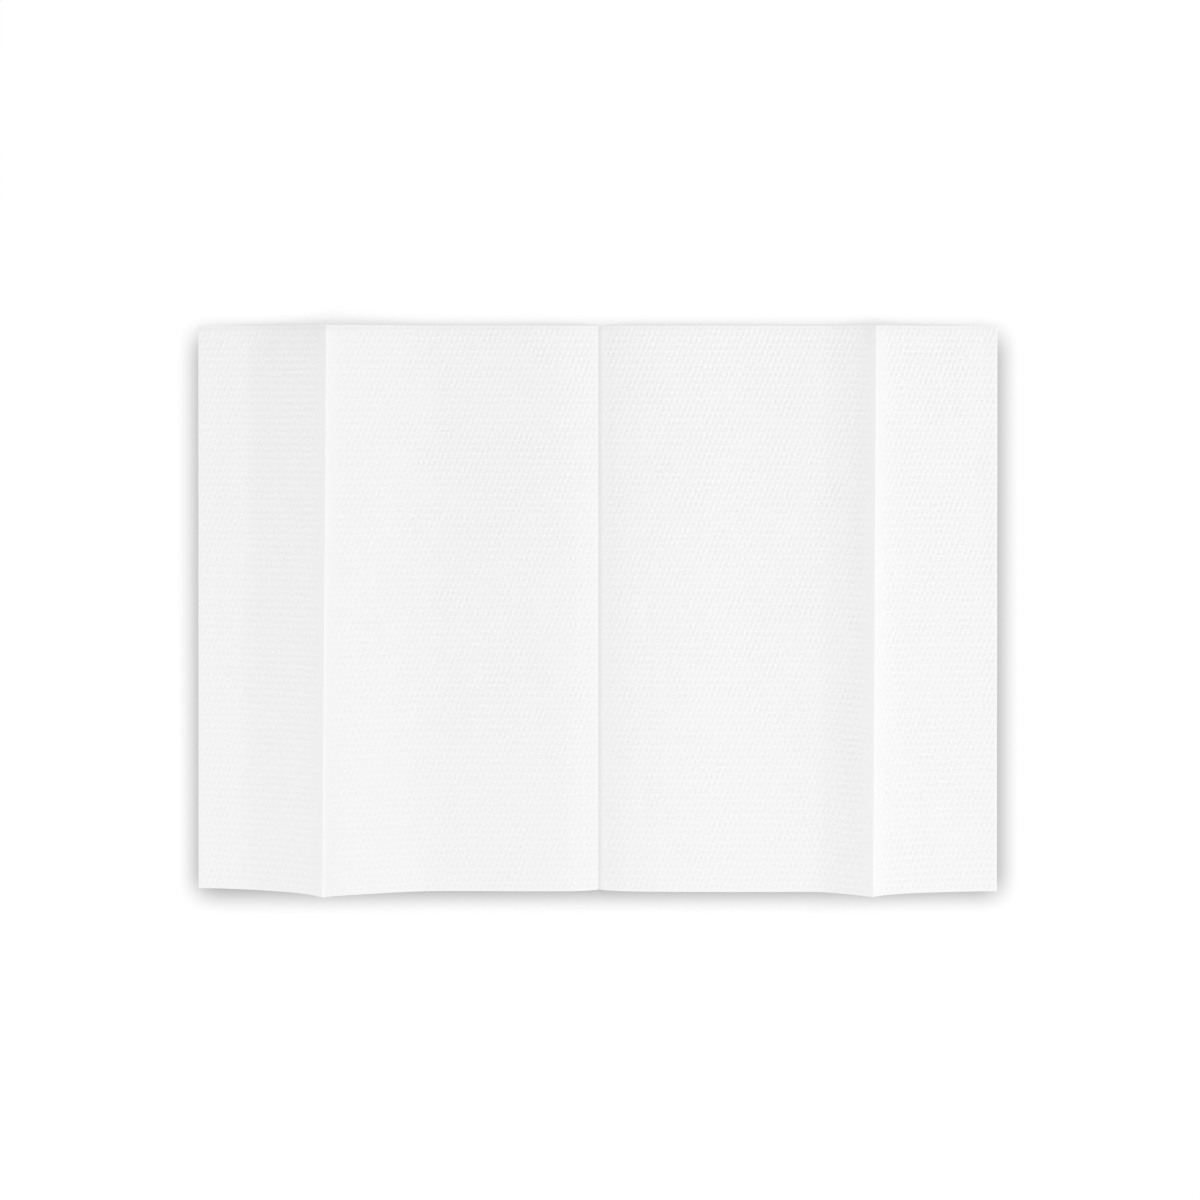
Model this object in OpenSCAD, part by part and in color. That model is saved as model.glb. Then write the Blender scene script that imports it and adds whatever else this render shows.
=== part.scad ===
// Paper hand towel, taken from a folded stack and laid open on a table.
// One sheet: the two mountain creases stay up as ridges and the valley crease between them touches
// the table. X runs across the creases, Y along them and Z up; the origin is the middle of the
// sheet's footprint, at table level. All lengths are in millimetres.

/* [Sheet] */
// Flat width of the half panel at the left edge
left_half_w = 39.8; // [38:0.1:44]
// Flat width of the full panel between the left ridge and the valley
left_full_w = 81.5; // [72:0.1:92]
// Flat width of the full panel between the valley and the right ridge
right_full_w = 81.9; // [72:0.1:92]
// Flat width of the half panel at the right edge
right_half_w = 38; // [37:0.1:43]
// Length of the sheet along its creases, at the right edge
sheet_depth = 170; // [140:1:220]
// Thickness of the embossed paper
paper_t = 0.4; // [0.3:0.02:0.6]
// How much shorter the sheet is at the left edge, where the cut is out of square
cut_skew = 1; // [0:0.1:2]
// How far both ridges drift to the left from the back edge to the front edge
crease_drift = 1.1; // [0:0.1:2]

/* [Left ridge] */
// Height of the left ridge at the front edge
left_front_h = 4.7; // [3:0.1:6.5]
// Height of the left ridge at the back edge
left_back_h = 4.5; // [3:0.1:6.5]
// Distance from the left ridge at which the half panel has come down to the table
left_outer_run = 35.5; // [28:0.5:37]
// Distance from the left ridge at which the full panel has come down to its hover
left_inner_run = 32; // [24:0.5:50]

/* [Right ridge] */
// Height of the right ridge at the front edge
right_front_h = 3.2; // [2:0.1:5]
// Height of the right ridge at the back edge
right_back_h = 2.4; // [2:0.1:5]
// Distance from the right ridge at which the full panel comes off its hover, at the front edge
right_inner_front_run = 15.5; // [12:0.5:26]
// Distance from the right ridge at which the full panel comes off its hover, at the back edge
right_inner_back_run = 13; // [12:0.5:26]
// Distance from the right ridge at which the half panel has come down to the table
right_outer_run = 34.5; // [26:0.5:36]

/* [Valley and panels] */
// Height at which the full panels hover beside the valley
hover_h = 1.1; // [0.6:0.05:2]
// Height to which the right full panel has sunk where it meets its ridge
right_hover_h = 0.5; // [0.2:0.1:1.5]
// Length over which a full panel rises from the valley to its hover
valley_l = 5.6; // [3:0.1:9]
// Height of the soft waves in the full panels
wave_h = 0.12; // [0:0.02:0.3]
// Length of one wave along the creases
wave_l = 62; // [40:1:100]

/* [Creases] */
// Radius over which a crease rounds
crease_r = 0.4; // [0.3:0.1:1.5]
// How much of a half panel's fall is a curl beside its ridge
outer_curl = 0.4; // [0:0.05:0.5]
// Length of that curl
outer_curl_l = 5.3; // [4:0.1:8]
// How much of the left full panel's fall is a curl beside its ridge
inner_curl = 0.1; // [0:0.05:0.3]
// Length of that curl
inner_curl_l = 2.5; // [2.5:0.1:6]
// Droop of the rest of a fall: 1 is straight, 2 is an even bend from the crease to the table
droop = 1.3; // [1.1:0.1:2]
// Lift under which the paper lies flat on the table
settle_h = 0.03; // [0.01:0.01:0.1]

/* [Smoothness] */
// Facets across a half panel
half_cols = 14; // [8:1:20]
// Facets across a full panel
full_cols = 24; // [14:1:32]
// Facets along the creases
rows = 18; // [10:1:26]

/* [Hidden] */

// Columns at which the three creases lie, counted from the left edge
ridge_a = half_cols;
valley = half_cols + full_cols;
ridge_b = half_cols + 2 * full_cols;
cols = 2 * (half_cols + full_cols);

// Value between a at the front edge (v = 0) and b at the back edge (v = 1)
function between(a, b, v) = a + (b - a) * v;

// How a panel falls from a crease, from 1 to 0 with the distance d: a curl beside the crease, and
// a nearly straight slope that bends as it meets its rest
function slant(d, run) = pow(max(0, 1 - d / run), droop);
function outer_fall(d, run) =
    (1 - outer_curl) * slant(d, run) + outer_curl * exp(-d / outer_curl_l);
function inner_fall(d, run) =
    (1 - inner_curl) * slant(d, run) + inner_curl * exp(-d / inner_curl_l);

// Distance from a crease, blunted so that the crease rounds instead of coming to an edge
function blunt(d) = sqrt(d * d + crease_r * crease_r) - crease_r;

// How a full panel rises from the valley to its hover, from 0 to 1 with the distance d
function valley_rise(d) = 1 - exp(-blunt(d) / valley_l);

// Soft waves of a full panel, which die out at the valley and at the ridge
function wave(d, w, v, side) =
    wave_h * sin(180 * d / w) * sin(360 * v * sheet_depth / wave_l + side * 180 * d / w);

// Heights of the two ridges
function left_h(v) = between(left_front_h, left_back_h, v);
function right_h(v) = between(right_front_h, right_back_h, v);

// Height of each panel above the table: d is the flat distance from the panel's ridge, w its width
function left_half_z(d, v) = left_h(v) * outer_fall(blunt(d), left_outer_run);
function left_full_z(d, w, v) =
    (left_h(v) - hover_h) * inner_fall(blunt(d), left_inner_run)
    + hover_h * valley_rise(w - d) + wave(d, w, v, -1);
function right_full_z(d, w, v) =
    (right_h(v) - right_hover_h)
    * slant(blunt(d), between(right_inner_front_run, right_inner_back_run, v))
    + between(right_hover_h, hover_h, d / w) * valley_rise(w - d) + wave(d, w, v, 1);
function right_half_z(d, v) = right_h(v) * outer_fall(blunt(d), right_outer_run);

// Share of a panel's width at step i of n, with the steps closer together at its creases
function crease_to_edge(i, n) = 1 - cos(90 * i / n);
function crease_to_crease(i, n) = (1 - cos(180 * i / n)) / 2;

// Widths of the four panels where the drift has moved the ridges
function shift(v) = crease_drift * (v - 0.5);
function left_half(v) = left_half_w + shift(v);
function left_full(v) = left_full_w - shift(v);
function right_full(v) = right_full_w + shift(v);
function right_half(v) = right_half_w - shift(v);

// Point of the flat sheet's section at column i: [distance from the valley, height]
function section(i, v) =
    i <= ridge_a
    ? let (d = left_half(v) * crease_to_edge(ridge_a - i, half_cols))
        [-left_full(v) - d, left_half_z(d, v)]
    : i <= valley
    ? let (w = left_full(v), d = w * crease_to_crease(i - ridge_a, full_cols))
        [d - w, left_full_z(d, w, v)]
    : i <= ridge_b
    ? let (w = right_full(v), d = w * crease_to_crease(ridge_b - i, full_cols))
        [w - d, right_full_z(d, w, v)]
    : let (d = right_half(v) * crease_to_edge(i - ridge_b, half_cols))
        [right_full(v) + d, right_half_z(d, v)];

// Underside of the sheet in one row: [x, z, distance from the left edge in the flat sheet].
// The paper doesn't stretch, so each step across keeps its flat length as the sheet rises.
function settled(z) = max(0, z - settle_h);
function row_section(v) =
    let (
        flat = [for (i = [0 : cols]) section(i, v)],
        high = [for (p = flat) settled(p[1])],
        step = [for (i = [1 : cols])
            sqrt(pow(flat[i][0] - flat[i - 1][0], 2) - pow(high[i] - high[i - 1], 2))],
        across = [for (i = 0, x = 0; i <= cols; x = x + (i < cols ? step[i] : 0), i = i + 1) x]
    )
    [for (i = [0 : cols]) [across[i] - across[valley], high[i], flat[i][0] - flat[0][0]]];

sheet_w = left_half_w + left_full_w + right_full_w + right_half_w;
sections = [for (j = [0 : rows]) row_section(j / rows)];
left_x = min([for (s = sections) s[0][0]]);
right_x = max([for (s = sections) s[cols][0]]);
middle_x = (left_x + right_x) / 2;

// Place of a point along the creases: the back edge is square, the front edge runs out by the skew
function along(s, v) = sheet_depth / 2 - (sheet_depth - cut_skew * (1 - s / sheet_w)) * (1 - v);

// Thickness measured upwards, so that it is paper_t square to the sloping paper
function slope(s, i) =
    let (a = s[max(i - 1, 0)], b = s[min(i + 1, cols)]) (b[1] - a[1]) / (b[0] - a[0]);
function rise(s, i) = paper_t * sqrt(1 + pow(slope(s, i), 2));

under = [for (j = [0 : rows]) for (i = [0 : cols])
    let (p = sections[j][i]) [p[0] - middle_x, along(p[2], j / rows), p[1]]];
over = [for (j = [0 : rows]) for (i = [0 : cols])
    under[j * (cols + 1) + i] + [0, 0, rise(sections[j], i)]];

// Index of the point at column i of row j, on the underside or, with up = 1, on the top
function at(i, j, up) = up * (rows + 1) * (cols + 1) + j * (cols + 1) + i;

// Two triangles between four corners, in the order that faces them outwards
function quad(a, b, c, d) = [[a, b, c], [a, c, d]];

top_faces = [for (j = [0 : rows - 1]) for (i = [0 : cols - 1])
    each quad(at(i, j, 1), at(i, j + 1, 1), at(i + 1, j + 1, 1), at(i + 1, j, 1))];
under_faces = [for (j = [0 : rows - 1]) for (i = [0 : cols - 1])
    each quad(at(i, j, 0), at(i + 1, j, 0), at(i + 1, j + 1, 0), at(i, j + 1, 0))];
front_faces = [for (i = [0 : cols - 1])
    each quad(at(i, 0, 0), at(i, 0, 1), at(i + 1, 0, 1), at(i + 1, 0, 0))];
back_faces = [for (i = [0 : cols - 1])
    each quad(at(i, rows, 0), at(i + 1, rows, 0), at(i + 1, rows, 1), at(i, rows, 1))];
left_faces = [for (j = [0 : rows - 1])
    each quad(at(0, j, 0), at(0, j + 1, 0), at(0, j + 1, 1), at(0, j, 1))];
right_faces = [for (j = [0 : rows - 1])
    each quad(at(cols, j, 0), at(cols, j, 1), at(cols, j + 1, 1), at(cols, j + 1, 0))];

module towel_sheet() {
    color([0.95, 0.95, 0.945])
        polyhedron(
            points = concat(under, over),
            faces = concat(top_faces, under_faces, front_faces, back_faces, left_faces, right_faces),
            convexity = 4
        );
}

towel_sheet();
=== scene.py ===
import math

import bpy
import numpy as np
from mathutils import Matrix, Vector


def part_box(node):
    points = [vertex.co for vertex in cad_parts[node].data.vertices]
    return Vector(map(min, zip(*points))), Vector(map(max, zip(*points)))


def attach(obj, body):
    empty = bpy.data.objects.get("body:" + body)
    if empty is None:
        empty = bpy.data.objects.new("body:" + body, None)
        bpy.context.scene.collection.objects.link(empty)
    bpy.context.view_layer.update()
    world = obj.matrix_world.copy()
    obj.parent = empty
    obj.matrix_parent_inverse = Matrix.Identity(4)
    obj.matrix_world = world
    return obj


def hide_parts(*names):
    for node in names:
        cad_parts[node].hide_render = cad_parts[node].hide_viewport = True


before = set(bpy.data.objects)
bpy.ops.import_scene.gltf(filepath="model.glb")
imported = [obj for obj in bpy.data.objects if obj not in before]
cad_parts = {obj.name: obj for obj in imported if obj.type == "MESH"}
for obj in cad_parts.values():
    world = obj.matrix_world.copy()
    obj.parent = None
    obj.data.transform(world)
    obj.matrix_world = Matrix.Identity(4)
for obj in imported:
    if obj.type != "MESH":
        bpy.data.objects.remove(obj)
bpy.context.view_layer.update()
mm = 0.001

# Camera: it looks straight down on the open sheet, as in the photograph. Its height and place come
# from where the sheet's edges lie in the picture, in pixels of a frame of 1200 by 1200.
picture_px = 1200
left_edge_px = 198.6
right_edge_px = 997.05
top_edge_px = 326.0
under_lens_px = 400.0  # the picture row that is straight below the lens
lens_mm = 26.7
sensor_mm = 36.0

sheet_low, sheet_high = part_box("towel_sheet")
px = (sheet_high.x - sheet_low.x) / (right_edge_px - left_edge_px)
picture_w = picture_px * px
middle_x = sheet_low.x + (picture_px / 2 - left_edge_px) * px
middle_y = sheet_high.y - (picture_px / 2 - top_edge_px) * px
lens_y = sheet_high.y - (under_lens_px - top_edge_px) * px

camera = bpy.data.objects.new("camera", bpy.data.cameras.new("camera"))
camera.data.lens = lens_mm
camera.data.sensor_width = sensor_mm
camera.data.shift_y = (middle_y - lens_y) / picture_w
camera.data.clip_start = 10 * mm
camera.data.clip_end = 20.0
camera.location = (middle_x, lens_y, picture_w * lens_mm / sensor_mm)
bpy.context.collection.objects.link(camera)
bpy.context.scene.camera = camera
bpy.context.scene.view_settings.view_transform = "Standard"

# The folded sheet: one web of embossed tissue, folded across in a half, two full and a half panel
# and then pulled open. The creases were pressed in the stack, so two of them still stand as ridges
# and the third lies on the table. These are its measures, as in the construction.
left_half_w = 39.8 * mm
left_full_w = 81.5 * mm
right_full_w = 81.9 * mm
right_half_w = 38.0 * mm
sheet_depth = 170.0 * mm
paper_t = 0.4 * mm
cut_skew = 1.0 * mm
crease_drift = 1.1 * mm

left_front_h = 4.7 * mm
left_back_h = 4.5 * mm
left_outer_run = 35.5 * mm
left_inner_run = 32.0 * mm

right_front_h = 3.2 * mm
right_back_h = 2.4 * mm
right_inner_front_run = 15.5 * mm
right_inner_back_run = 13.0 * mm
right_outer_run = 34.5 * mm

hover_h = 1.1 * mm
right_hover_h = 0.5 * mm
valley_l = 5.6 * mm
wave_h = 0.12 * mm
wave_l = 62.0 * mm
crease_r = 0.4 * mm
outer_curl = 0.4
outer_curl_l = 5.3 * mm
inner_curl = 0.1
inner_curl_l = 2.5 * mm
inner_ease = 0.15  # finer than the construction: the full panels' slopes end gradually
droop = 1.3
settle_h = 0.03 * mm


def between(front, back, v):
    """The value at v, from the one at the front edge (v = 0) to the one at the back edge (v = 1)."""
    return front + (back - front) * v


def fall(d, run, curl, curl_l, ease=0.0):
    """How a panel falls from a crease, from 1 to 0 with the distance d: a share curl of it dies away
    beside the crease, and the rest is a slope, straight but for the droop, down to the run's end.
    With ease, the slope comes to its end gradually, over that share of the run to either side."""
    left = 1 - d / run
    left = (left + np.sqrt(left * left + ease * ease)) / 2
    return (1 - curl) * left**droop + curl * np.exp(-d / curl_l)


def blunt(d):
    """The distance from a crease, rounded off within the crease's radius."""
    return np.sqrt(d * d + crease_r * crease_r) - crease_r


def valley_rise(d):
    """How a full panel rises from the valley to its hover, from 0 to 1 with the distance d."""
    return 1 - np.exp(-blunt(d) / valley_l)


def soft_wave(d, w, v, side):
    """Soft waves along the creases, which lean across the panel and die out at both its creases."""
    along = 2 * np.pi * v * sheet_depth / wave_l
    return wave_h * np.sin(np.pi * d / w) * np.sin(along + side * np.pi * d / w)


def ridge_places(v):
    """Where the left and the right ridge lie in the flat sheet, measured from the valley."""
    drift = crease_drift * (v - 0.5)
    return drift - left_full_w, right_full_w + drift


def lift(s, v):
    """Height of the sheet's underside at the flat distance s from the valley: in each panel the fall
    from its ridge, and in the two full panels the hover and the waves as well."""
    left_ridge, right_ridge = ridge_places(v)
    left_h = between(left_front_h, left_back_h, v)
    right_h = between(right_front_h, right_back_h, v)
    inner_run = between(right_inner_front_run, right_inner_back_run, v)
    d_left = blunt(np.abs(s - left_ridge))
    d_right = blunt(np.abs(right_ridge - s))
    left_half = left_h * fall(d_left, left_outer_run, outer_curl, outer_curl_l)
    left_full = fall(d_left, left_inner_run, inner_curl, inner_curl_l, inner_ease)
    left_full = (left_h - hover_h) * left_full
    left_full = left_full + hover_h * valley_rise(-s)
    left_full = left_full + soft_wave(s - left_ridge, -left_ridge, v, -1)
    right_full = fall(d_right, inner_run, 0, inner_curl_l, inner_ease)
    right_full = (right_h - right_hover_h) * right_full
    right_full = right_full + between(hover_h, right_hover_h, s / right_ridge) * valley_rise(s)
    right_full = right_full + soft_wave(right_ridge - s, right_ridge, v, 1)
    right_half = right_h * fall(d_right, right_outer_run, outer_curl, outer_curl_l)
    where = [s < left_ridge, s < 0, s < right_ridge]
    return np.maximum(0, np.select(where, [left_half, left_full, right_full], right_half) - settle_h)


# The emboss: rows of small leaning pits, every other row set half a pitch aside, which the web got
# between two rollers. The mesh is laid out on the same rows, so that every pit has its own points.
left_half_pits = 25
left_full_pits = 50
right_full_pits = 50
right_half_pits = 23
pit_rows = 83
points_per_pit = 3
crowded_pits = 2.0
crowding = 1.6
sheet_w = left_half_w + left_full_w + right_full_w + right_half_w
pit_depth = 0.2 * mm
ridge_fade_l = 3.0 * mm
valley_fade_l = 1.6 * mm
cut_fade_l = 0.8 * mm
row_shift = np.array([0, 1 / 4, 1 / 6, 1 / 12])  # keeps a point on every pit of the leaning rows


def across_panel(pits, creased_left, creased_right):
    """Places of the mesh columns across a panel, counted in pits: evenly spaced, apart from the two
    pits next to a crease, where the distance to it falls off as a power."""
    u = np.arange(pits * points_per_pit + 1) / points_per_pit
    if creased_left:
        crowded = crowded_pits * (u / crowded_pits) ** crowding
        u = np.where(u < crowded_pits, crowded, u)
    if creased_right:
        crowded = crowded_pits * ((pits - u) / crowded_pits).clip(0) ** crowding
        u = np.where(pits - u < crowded_pits, pits - crowded, u)
    return u


def pit_pattern(u, r):
    """Depth of the emboss from 0 to 1, with u counted in pits and r in rows: three cosine waves, of
    which the one that leans to the right is the strongest."""
    lean = np.cos(2 * np.pi * (u - r / 2))
    back = np.cos(2 * np.pi * (u + r / 2))
    rows = np.cos(2 * np.pi * r)
    return 0.5 + 0.5 * (1.0 * lean + 0.35 * back + 0.85 * rows) / 2.2


def patches(shape, size, seed):
    """A smooth field with a spread of 1 over the sheet's grid: seeded random numbers, whose waves
    are damped by the Gaussian that leaves patches of this size."""
    numbers = np.random.default_rng(seed).standard_normal(shape)
    waves_y = np.fft.fftfreq(shape[0], sheet_depth / shape[0])[:, None]
    waves_x = np.fft.rfftfreq(shape[1], sheet_w / shape[1])[None, :]
    damping = np.exp(-((waves_x * size) ** 2) - (waves_y * size) ** 2)
    field = np.fft.irfft2(np.fft.rfft2(numbers) * damping, shape)
    return (field - field.mean()) / field.std()


rows = 2 * pit_rows
v = (np.arange(rows + 1) / rows)[:, None]
shift = row_shift[np.arange(rows + 1) % 4][:, None]
left_ridge, right_ridge = ridge_places(v)
panels = [
    (left_half_pits, -left_half_w - left_full_w, left_ridge, False, True),
    (left_full_pits, left_ridge, 0 * v, True, True),
    (right_full_pits, 0 * v, right_ridge, True, True),
    (right_half_pits, right_ridge, right_full_w + right_half_w, True, False),
]
flat_parts = []
pit_parts = []
pits_so_far = 0
for pits, start, end, creased_left, creased_right in panels:
    u = across_panel(pits, creased_left, creased_right)[None, :]
    edge_room = np.minimum(u, pits - u) / crowded_pits
    u = u + shift * np.clip(edge_room, 0, 1)
    flat_parts.append(start + (end - start) * u / pits)
    pit_parts.append(pits_so_far + u)
    pits_so_far += pits
flat = np.concatenate([p[:, (i > 0):] for i, p in enumerate(flat_parts)], axis=1)
pit_u = np.concatenate([p[:, (i > 0):] for i, p in enumerate(pit_parts)], axis=1)
pit_r = np.broadcast_to(np.arange(rows + 1)[:, None] / 2, flat.shape)
v = np.broadcast_to(v, flat.shape)
valley_column = (left_half_pits + left_full_pits) * points_per_pit

# Paper bends and doesn't stretch, so each short step across keeps its flat length as the sheet rises.
fine_flat = np.linspace(-left_half_w - left_full_w, right_full_w + right_half_w, 4001)[None, :]
fine_steps = np.sqrt(np.diff(fine_flat) ** 2 - np.diff(lift(fine_flat, v[:, :1])) ** 2)
fine_across = np.concatenate([np.zeros((rows + 1, 1)), np.cumsum(fine_steps, axis=1)], axis=1)
across = np.stack([np.interp(flat[i], fine_flat[0], fine_across[i]) for i in range(rows + 1)])
across = across - across[:, valley_column][:, None]
across = across - (across[:, 0].min() + across[:, -1].max()) / 2
underside = lift(flat, v)
edge_share = 1 - (flat - flat[:, :1]) / sheet_w
along = sheet_depth / 2 - (sheet_depth - cut_skew * edge_share) * (1 - v)

# Looseness that the rollers and the hand left where the paper is off the table: faint ripples, a
# flute that runs in from the back edge, and two shallow dents from a fingertip beside the valley.
ripple_h = 0.03 * mm
ripple_size = 16.0 * mm
ripple_room = 0.8 * mm  # a ripple reaches half its height where the paper is this high
flute_x = -17.0 * mm
flute_w = 9.0 * mm
flute_h = 0.4 * mm
flute_l = 35.0 * mm
dents = [  # across and along from the middle of the valley, width, length and depth, in millimetres
    (13.8, -1.3, 2.2, 4.0, 0.2),
    (13.4, -56.0, 2.2, 6.0, 0.2),
]
from_back = along[-1:] - along
flute = flute_h * np.exp(-(((flat - flute_x) / flute_w) ** 2) - from_back / flute_l)
ripple = ripple_h * patches(flat.shape, ripple_size, 5) + flute
underside = underside + ripple * underside / (underside + ripple_room)
for dent in dents:
    dent_x, dent_y, dent_w, dent_l, dent_h = np.array(dent) * mm
    spread = ((flat - dent_x) / dent_w) ** 2 + ((along - dent_y) / dent_l) ** 2
    underside = underside - dent_h * np.exp(-spread)

# The top: the paper's thickness square to its slope, less the pits, with a pinched bead along each
# ridge, a pressed groove along the valley, and edges that the knife pressed a little thinner.
bead_h = 0.15 * mm
bead_l = 0.28 * mm
groove_h = 0.22 * mm
groove_l = 0.4 * mm
groove_offset = 0.08 * mm
knife_l = 0.5 * mm
knife_share = 0.35

slope = np.gradient(underside, axis=1) / np.gradient(across, axis=1)
left_ridge, right_ridge = ridge_places(v)
from_ridge = np.minimum(np.abs(flat - left_ridge), np.abs(flat - right_ridge))
from_valley = np.abs(flat)
from_cut = np.minimum(
    np.minimum(flat - flat[:, :1], flat[:, -1:] - flat),
    np.minimum(along - along[:1], from_back),
)

# How firmly the rollers bit, at the front and at the back edge: less in the left half panel and
# beside the left ridge, and a little unevenly. By the creases and the cuts the pits are ironed out.
bite_places = np.array([-121.3, -81.5, -62.0, -48.0, 119.9]) * mm
bite_front = [0.62, 0.58, 0.6, 0.78, 0.88]
bite_back = [0.86, 0.84, 0.86, 1.04, 1.06]
bite_spread = 0.08
bite_patch = 9.0 * mm

bite = between(np.interp(flat, bite_places, bite_front), np.interp(flat, bite_places, bite_back), v)
bite = bite * (1 + bite_spread * patches(flat.shape, bite_patch, 11))
ironed = np.exp(-((from_ridge / ridge_fade_l) ** 2))
ironed = ironed + np.exp(-((from_valley / valley_fade_l) ** 2))
ironed = np.minimum(1, ironed + np.exp(-((from_cut / cut_fade_l) ** 2)))
emboss = bite * (1 - ironed)
groove = np.exp(-(((flat + groove_offset) / groove_l) ** 2))
thickness = paper_t * (1 - knife_share * np.exp(-from_cut / knife_l))
thickness = thickness - pit_depth * emboss * pit_pattern(pit_u, pit_r)
thickness = thickness + bead_h * np.exp(-from_ridge / bead_l)
thickness = thickness - groove_h * groove
top = underside + thickness * np.sqrt(1 + slope**2)

# How strong the painted shade of the leaning rows of pits is: less at the left and towards the front,
# more to the right and the back, where the low lamp falls.
lean_shade_places = np.array([-121.3, -81.5, -60.0, -45.0, 0.0, 50.0, 80.0, 119.9]) * mm
lean_shade_clear = [0.7, 0.15, 0.3, 1.0, 1.0, 1.35, 1.1, 0.7]
lean_shade_front = 0.62
lean_shade_back = 1.38
lean = np.interp(flat, lean_shade_places, lean_shade_clear) * between(lean_shade_front, lean_shade_back, v)

# How dark the paper is drawn: a little cloudy, as the web is from its making, and beyond that
# painted light and shade: in bands across the sheet, beside the ridges, at the ridges' back ends
# and in the groove of the valley, and a darker line just inside the back edge.
# Painted light and shade across the sheet, band by band: a lighter strip before the left ridge's shadow,
# that shadow made darker, and panels made lighter or darker where the lamps fall on them unevenly.
shade_band_places = np.array([-121.3, -107, -103, -83, -80, -50, -12, -6, 3, 12, 35, 67, 75, 119.9]) * mm
band_shade = [0.29, 0.18, 0.3, 0.28, 0.32, 0.35, 0.34, 0.26, 0.39, 0.3, 0.18, 0.3, 0.27, 0.25]
# Painted shade beside the ridges, though not on their crests: deepest on the left full panel at the
# front.
ridge_shade_w = 5.0 * mm
crest_w = 0.7 * mm
ridge_shade_front = 0.32
ridge_shade_back = 0.04
ridge_shade_elsewhere = 0.07
cloud_spread = 0.017
cloud_size = 4.5 * mm
# Painted shade at the ridges' back ends, fading away from the back edge.
back_shade_places = np.array([-121.3, -107, -98, -83, -80, -65, 78, 80, 84, 86, 119.9]) * mm
back_shade = [0.12, 0.15, 0.4, 0.4, 0.1, 0.0, 0.0, 0.3, 0.3, 0.1, 0.1]
back_shade_l = 9.0 * mm
# A darker line drawn just inside the back edge.
cut_line_dark = 0.25
cut_line_in = 1.0 * mm
cut_line_w = 0.7 * mm

painted_bands = np.interp(flat, shade_band_places, band_shade)
beside_ridge = np.exp(-((from_ridge / ridge_shade_w) ** 2)) - np.exp(-((from_ridge / crest_w) ** 2))
left_full_panel = (flat > left_ridge) & (flat < 0)
ridge_shade = np.where(left_full_panel, between(ridge_shade_front, ridge_shade_back, v), ridge_shade_elsewhere)
clouds = cloud_spread * patches(flat.shape, cloud_size, 17)
back_end_shade = np.interp(flat, back_shade_places, back_shade) * np.exp(-from_back / back_shade_l)
cut_line = cut_line_dark * np.exp(-(((from_back - cut_line_in) / cut_line_w) ** 2))
# Here the groove is painted shade in the valley's crease and the clouds are the paper's own tone; the
# other terms are painted light and shade.
density_and_shade = groove + painted_bands + ridge_shade * beside_ridge + clouds + back_end_shade + cut_line


def stitch(fine, coarse):
    """Triangles between a row of points and a row with a third as many steps: a fan at each."""
    fine_steps = np.stack([fine[:-1], fine[1:]], axis=1).reshape(-1, 3, 2)
    fans = [np.column_stack([coarse[:-1], fine_steps[:, i, 0], fine_steps[:, i, 1]]) for i in range(3)]
    return np.concatenate(fans + [np.column_stack([coarse[:-1], fine[3::3], coarse[1:]])])


def grid_triangles(index):
    """Two triangles for each cell of a grid of point numbers, split along the way the pits lean."""
    a, b, c, d = index[:-1, :-1], index[:-1, 1:], index[1:, 1:], index[1:, :-1]
    first = np.stack([a, b, c], axis=-1).reshape(-1, 3)
    second = np.stack([a, c, d], axis=-1).reshape(-1, 3)
    return np.concatenate([first, second])


top_index = np.arange(top.size).reshape(top.shape)
low_shape = underside[::2, ::3].shape
low_index = top.size + np.arange(low_shape[0] * low_shape[1]).reshape(low_shape)
points = np.concatenate([
    np.stack([across, along, top], axis=-1).reshape(-1, 3),
    np.stack([across, along, underside], axis=-1)[::2, ::3].reshape(-1, 3),
])


def rim(fine, coarse):
    """Triangles of a side edge, where two steps of the top meet one of the underside."""
    first = np.column_stack([coarse[:-1], fine[0:-1:2], fine[1::2]])
    second = np.column_stack([coarse[:-1], fine[1::2], fine[2::2]])
    third = np.column_stack([coarse[:-1], fine[2::2], coarse[1:]])
    return np.concatenate([first, second, third])


triangles = np.concatenate([
    grid_triangles(top_index),
    grid_triangles(low_index)[:, ::-1],
    stitch(top_index[0], low_index[0])[:, ::-1],
    stitch(top_index[-1], low_index[-1]),
    rim(top_index[:, 0], low_index[:, 0]),
    rim(top_index[:, -1], low_index[:, -1])[:, ::-1],
])

cut_edge_degrees = 50
towel_mesh = bpy.data.meshes.new("towel_paper")
towel_mesh.from_pydata(points.tolist(), [], triangles.tolist())
towel_mesh.validate()
towel_mesh.shade_smooth()
towel_mesh.set_sharp_from_angle(angle=math.radians(cut_edge_degrees))

corner_point = np.zeros(len(towel_mesh.loops), np.int32)
towel_mesh.loops.foreach_get("vertex_index", corner_point)


def every_point(grid):
    """The values of a grid at the points of the top, followed by those of the underside."""
    return np.concatenate([grid.ravel(), grid[::2, ::3].ravel()]).astype(np.float32)


def add_uv(name, u, v):
    """A UV map from two grids of values."""
    uv = np.stack([every_point(u), every_point(v)], axis=-1)
    towel_mesh.uv_layers.new(name=name).uv.foreach_set("vector", uv[corner_point].ravel())


def add_value(name, grid):
    """A named value at each point, for the paper's finish."""
    towel_mesh.attributes.new(name, "FLOAT", "POINT").data.foreach_set("value", every_point(grid))


add_uv("flat_sheet", flat, along)
add_uv("pit_lattice", pit_u, pit_r)
add_value("emboss", emboss)
add_value("lean", lean)
add_value("paper_density_and_shade", density_and_shade)

towel = bpy.data.objects.new("towel_paper", towel_mesh)
bpy.context.collection.objects.link(towel)
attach(towel, "root")
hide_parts("towel_sheet")


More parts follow.
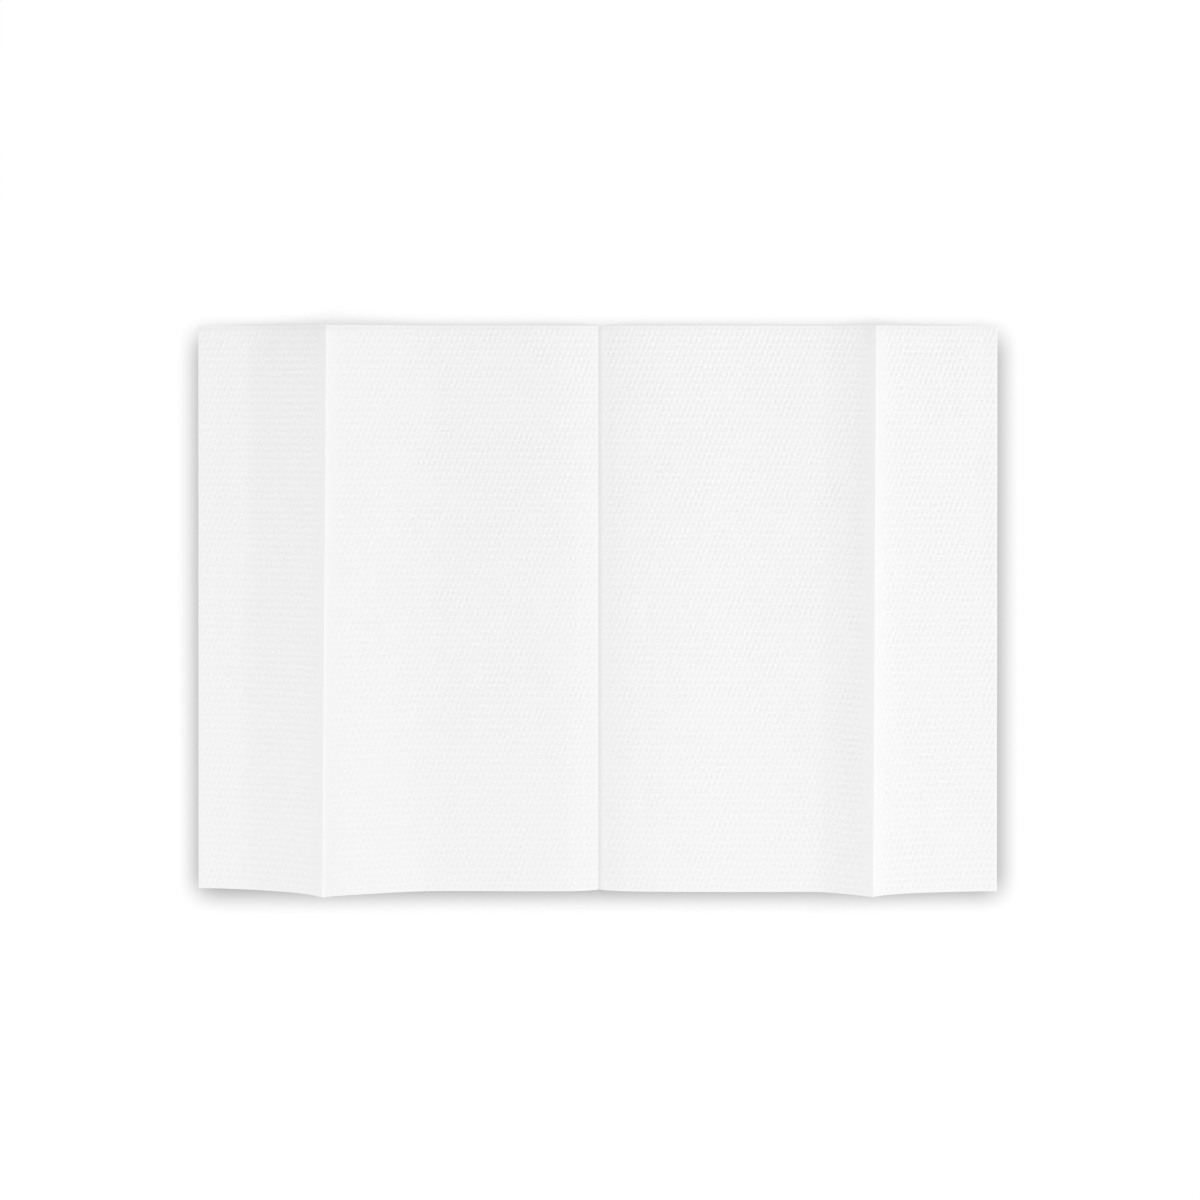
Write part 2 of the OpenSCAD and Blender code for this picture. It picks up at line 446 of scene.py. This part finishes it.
# Paper: bleached, matt and unglossed, with a loose web of fibres that shows as a fine grain. Where
# the rollers pressed it, its pits are darker, partly as denser paper and partly as painted shade, and
# sharper than the mesh can show.
paper_roughness = 0.95
paper_specular = 0.15
fibre_scale = 1300.0
fibre_detail = 3.0
fibre_roughness = 0.7
fibre_grain = 1.5
fibre_relief = 0.5
thin_paper = (0.82, 0.82, 0.82, 1)
thick_paper = (1.0, 1.0, 1.0, 1)
# The colour towards which the density and the painted shade darken the paper.
dense_and_shaded_paper = (0.88, 0.88, 0.88, 1)
# How much each wave darkens the pits' colour, partly as painted shade in the pits.
lean_pit_shade, back_pit_shade, row_pit_shade = 0.07, 0.032, 0.09
lean_relief, back_relief, row_relief = -0.35, -0.15, -1.2
relief_h = 0.05 * mm
row_turn = 0.25


def node(tree, kind, **values):
    """A new node with its settings, and with its inputs set by name."""
    made = tree.nodes.new(kind)
    for name, value in values.items():
        if name in made.inputs:
            made.inputs[name].default_value = value
        else:
            setattr(made, name, value)
    return made


def calculate(tree, operation, *terms):
    """A Math node over sockets and plain numbers."""
    made = node(tree, "ShaderNodeMath", operation=operation)
    for socket, term in zip(made.inputs, terms):
        if isinstance(term, (int, float)):
            socket.default_value = term
        else:
            tree.links.new(term, socket)
    return made.outputs["Value"]


def pit_waves(tree, lean, back, row):
    """The emboss in the finish: the same three cosine waves over the pits, of these strengths, with
    the wave of the rows a quarter turn on, so that the lit side of a row is as clear as its dark one."""
    place = node(tree, "ShaderNodeUVMap", uv_map="pit_lattice")
    waves = [(lean, 1, -0.5, 0), (back, 1, 0.5, 0), (row, 0, 1, row_turn)]
    total = 0.0
    for share, per_pit, per_row, turn in waves:
        turns = node(tree, "ShaderNodeVectorMath", operation="DOT_PRODUCT")
        turns.inputs[1].default_value = (2 * math.pi * per_pit, 2 * math.pi * per_row, 0)
        tree.links.new(place.outputs["UV"], turns.inputs[0])
        turned = calculate(tree, "ADD", turns.outputs["Value"], 2 * math.pi * turn)
        cosine = calculate(tree, "COSINE", turned)
        total = calculate(tree, "MULTIPLY_ADD", cosine, share, total)
    return total


def paper_finish():
    """The paper's material: its grain is the web of fibres, darkened by the density and painted shade,
    and by the pits, partly as painted shade.
    """
    material = bpy.data.materials.new("hand_towel_tissue")
    material.use_nodes = True
    tree = material.node_tree
    link = tree.links.new
    shader = tree.nodes["Principled BSDF"]
    shader.inputs["Roughness"].default_value = paper_roughness
    shader.inputs["Specular IOR Level"].default_value = paper_specular
    emboss = node(tree, "ShaderNodeAttribute", attribute_name="emboss").outputs["Fac"]
    lean = node(tree, "ShaderNodeAttribute", attribute_name="lean").outputs["Fac"]
    density_and_shade = node(tree, "ShaderNodeAttribute", attribute_name="paper_density_and_shade").outputs["Fac"]
    place = node(tree, "ShaderNodeUVMap", uv_map="flat_sheet")
    fibres = node(
        tree, "ShaderNodeTexNoise", Scale=fibre_scale, Detail=fibre_detail, Roughness=fibre_roughness
    )
    link(place.outputs["UV"], fibres.inputs["Vector"])
    grain = node(tree, "ShaderNodeMix", data_type="RGBA")
    grain.inputs["A"].default_value = thin_paper
    grain.inputs["B"].default_value = thick_paper
    web = calculate(tree, "SUBTRACT", fibres.outputs["Fac"], 0.5)
    web = calculate(tree, "MULTIPLY", web, emboss)
    link(calculate(tree, "MULTIPLY_ADD", web, fibre_grain, 0.5), grain.inputs["Factor"])
    # Painted shade in the pits, with the pressed paper's darker tone: the three waves darken the colour.
    lean = calculate(tree, "MULTIPLY", lean, lean_pit_shade)
    pits = calculate(tree, "MULTIPLY", pit_waves(tree, lean, back_pit_shade, row_pit_shade), emboss)
    density_and_shade = calculate(tree, "ADD", pits, density_and_shade)
    darkened = node(tree, "ShaderNodeMix", data_type="RGBA", blend_type="MULTIPLY")
    darkened.inputs["B"].default_value = dense_and_shaded_paper
    link(density_and_shade, darkened.inputs["Factor"])
    link(grain.outputs["Result"], darkened.inputs["A"])
    link(darkened.outputs["Result"], shader.inputs["Base Color"])
    relief = pit_waves(tree, lean_relief, back_relief, row_relief)
    relief = calculate(tree, "MULTIPLY", relief, emboss)
    relief = calculate(tree, "MULTIPLY_ADD", web, fibre_relief, relief)
    bump = node(tree, "ShaderNodeBump", Strength=1.0, Distance=relief_h)
    link(relief, bump.inputs["Height"])
    link(bump.outputs["Normal"], shader.inputs["Normal"])
    return material


towel_mesh.materials.append(paper_finish())

# The table: a plain white floor. To the camera it shows the shadow of the sheet and a soft dark
# margin round it, a painted shadow in its colour, and far from the sheet it is pure white.
floor_half = 3.0
floor_mesh = bpy.data.meshes.new("floor")
corners = [(x * floor_half, y * floor_half, 0.0) for x, y in ((-1, -1), (1, -1), (1, 1), (-1, 1))]
floor_mesh.from_pydata(corners, [], [(0, 1, 2, 3)])
floor = bpy.data.objects.new("floor", floor_mesh)
bpy.context.collection.objects.link(floor)

# The painted shadow round the sheet: its blur, its depth, and how far past each edge it reaches.
painted_shadow_blur = 11.0 * px
painted_shadow_ends = 2.65  # blurs from the middle of a blurred edge to either of its ends
painted_shadow_depth = 0.43
picture_gamma = 2.2
floor_grey = (0.85, 0.85, 0.85, 1)
floor_lit = (0.35, 0.35, 0.35, 1)
floor_glow = 0.66
white_from = 0.25  # metres from the middle of the sheet
painted_shadow_reach = {"left": 0.0, "right": 1.5 * px, "front": 1.5 * px, "back": -10.5 * px}


def soft_step(tree, value, at, rising):
    """From 0 to 1 as the value passes a place, or from 1 to 0, as a blurred edge does."""
    reach = painted_shadow_ends * painted_shadow_blur
    step = node(tree, "ShaderNodeMapRange", interpolation_type="SMOOTHERSTEP")
    step.inputs["From Min"].default_value = at - reach
    step.inputs["From Max"].default_value = at + reach
    step.inputs["To Min"].default_value = 0.0 if rising else 1.0
    step.inputs["To Max"].default_value = 1.0 if rising else 0.0
    tree.links.new(value, step.inputs["Value"])
    return step.outputs["Result"]


def floor_finish():
    """The floor's material: matt, and to the camera a part of its white is its own, less the painted
    shadow.
    """
    material = bpy.data.materials.new("white_table")
    material.use_nodes = True
    tree = material.node_tree
    tree.nodes.clear()
    link = tree.links.new
    place = node(tree, "ShaderNodeTexCoord")
    split = node(tree, "ShaderNodeSeparateXYZ")
    link(place.outputs["Object"], split.inputs["Vector"])
    x, y = split.outputs["X"], split.outputs["Y"]
    # Painted shadow: the floor's colour is darkened in a blurred band round the sheet's outline.
    left = soft_step(tree, x, sheet_low.x - painted_shadow_reach["left"], True)
    right = soft_step(tree, x, sheet_high.x + painted_shadow_reach["right"], False)
    front = soft_step(tree, y, sheet_low.y - painted_shadow_reach["front"], True)
    back = soft_step(tree, y, sheet_high.y + painted_shadow_reach["back"], False)
    wide = calculate(tree, "MULTIPLY", left, right)
    painted_shadow = calculate(tree, "MULTIPLY", wide, calculate(tree, "MULTIPLY", front, back))
    level = calculate(tree, "MULTIPLY_ADD", painted_shadow, -painted_shadow_depth, 1.0)
    linear = calculate(tree, "POWER", level, picture_gamma)
    plain = node(tree, "ShaderNodeBsdfDiffuse", Color=floor_grey)
    seen = node(tree, "ShaderNodeBsdfDiffuse")
    glow = node(tree, "ShaderNodeEmission")
    shade = node(tree, "ShaderNodeMix", data_type="RGBA", blend_type="MULTIPLY")
    shade.inputs["Factor"].default_value = 1.0
    shade.inputs["A"].default_value = floor_lit
    link(linear, shade.inputs["B"])
    link(shade.outputs["Result"], seen.inputs["Color"])
    link(linear, glow.inputs["Color"])
    glow.inputs["Strength"].default_value = floor_glow
    both = node(tree, "ShaderNodeAddShader")
    link(seen.outputs["BSDF"], both.inputs[0])
    link(glow.outputs["Emission"], both.inputs[1])
    reach = node(tree, "ShaderNodeVectorMath", operation="LENGTH")
    link(place.outputs["Object"], reach.inputs[0])
    far = node(tree, "ShaderNodeMapRange", interpolation_type="SMOOTHSTEP")
    far.inputs["From Min"].default_value = white_from
    far.inputs["From Max"].default_value = 2 * white_from
    link(reach.outputs["Value"], far.inputs["Value"])
    white = node(tree, "ShaderNodeEmission")
    near_or_far = node(tree, "ShaderNodeMixShader")
    link(far.outputs["Result"], near_or_far.inputs["Fac"])
    link(both.outputs["Shader"], near_or_far.inputs[1])
    link(white.outputs["Emission"], near_or_far.inputs[2])
    path = node(tree, "ShaderNodeLightPath")
    choose = node(tree, "ShaderNodeMixShader")
    link(path.outputs["Is Camera Ray"], choose.inputs["Fac"])
    link(plain.outputs["BSDF"], choose.inputs[1])
    link(near_or_far.outputs["Shader"], choose.inputs[2])
    out = node(tree, "ShaderNodeOutputMaterial")
    link(choose.outputs["Shader"], out.inputs["Surface"])
    return material


floor_mesh.materials.append(floor_finish())

# Light: an even pale room, one wide soft lamp high in front of the sheet, and a weak narrow lamp low
# on the right, a little behind it, that brings out the ridges, the valley and the emboss.
room_strength = 0.839


def lamp(name, place, size, share):
    """An area lamp aimed at the sheet, as bright as gives this share of the light on the table."""
    distance = math.dist(place, (0, 0, 0))
    made = bpy.data.objects.new(name, bpy.data.lights.new(name, "AREA"))
    made.data.shape = "RECTANGLE"
    made.data.size, made.data.size_y = size
    made.data.energy = share * math.pi**2 * distance**3 / place[2]
    made.location = place
    made.rotation_mode = "QUATERNION"
    made.rotation_quaternion = made.location.to_track_quat("Z", "Y")
    bpy.context.collection.objects.link(made)


lamp("high_lamp", (-0.12, -0.9, 1.3), (0.9, 0.9), 0.17)
lamp("low_lamp", (0.95, 0.35, 0.178), (0.12, 0.01), 0.043)

room = bpy.data.worlds.new("pale_room")
bpy.context.scene.world = room
room.use_nodes = True
tree = room.node_tree
tree.nodes.clear()
lit = node(tree, "ShaderNodeBackground", Color=(1, 1, 1, 1), Strength=room_strength)
seen = node(tree, "ShaderNodeBackground", Color=(1, 1, 1, 1), Strength=1.0)
path = node(tree, "ShaderNodeLightPath")
shown = calculate(tree, "MAXIMUM", path.outputs["Is Camera Ray"], path.outputs["Is Glossy Ray"])
shown = calculate(tree, "MAXIMUM", shown, path.outputs["Is Transmission Ray"])
choose = node(tree, "ShaderNodeMixShader")
tree.links.new(shown, choose.inputs["Fac"])
tree.links.new(lit.outputs["Background"], choose.inputs[1])
tree.links.new(seen.outputs["Background"], choose.inputs[2])
out = node(tree, "ShaderNodeOutputWorld")
tree.links.new(choose.outputs["Shader"], out.inputs["Surface"])
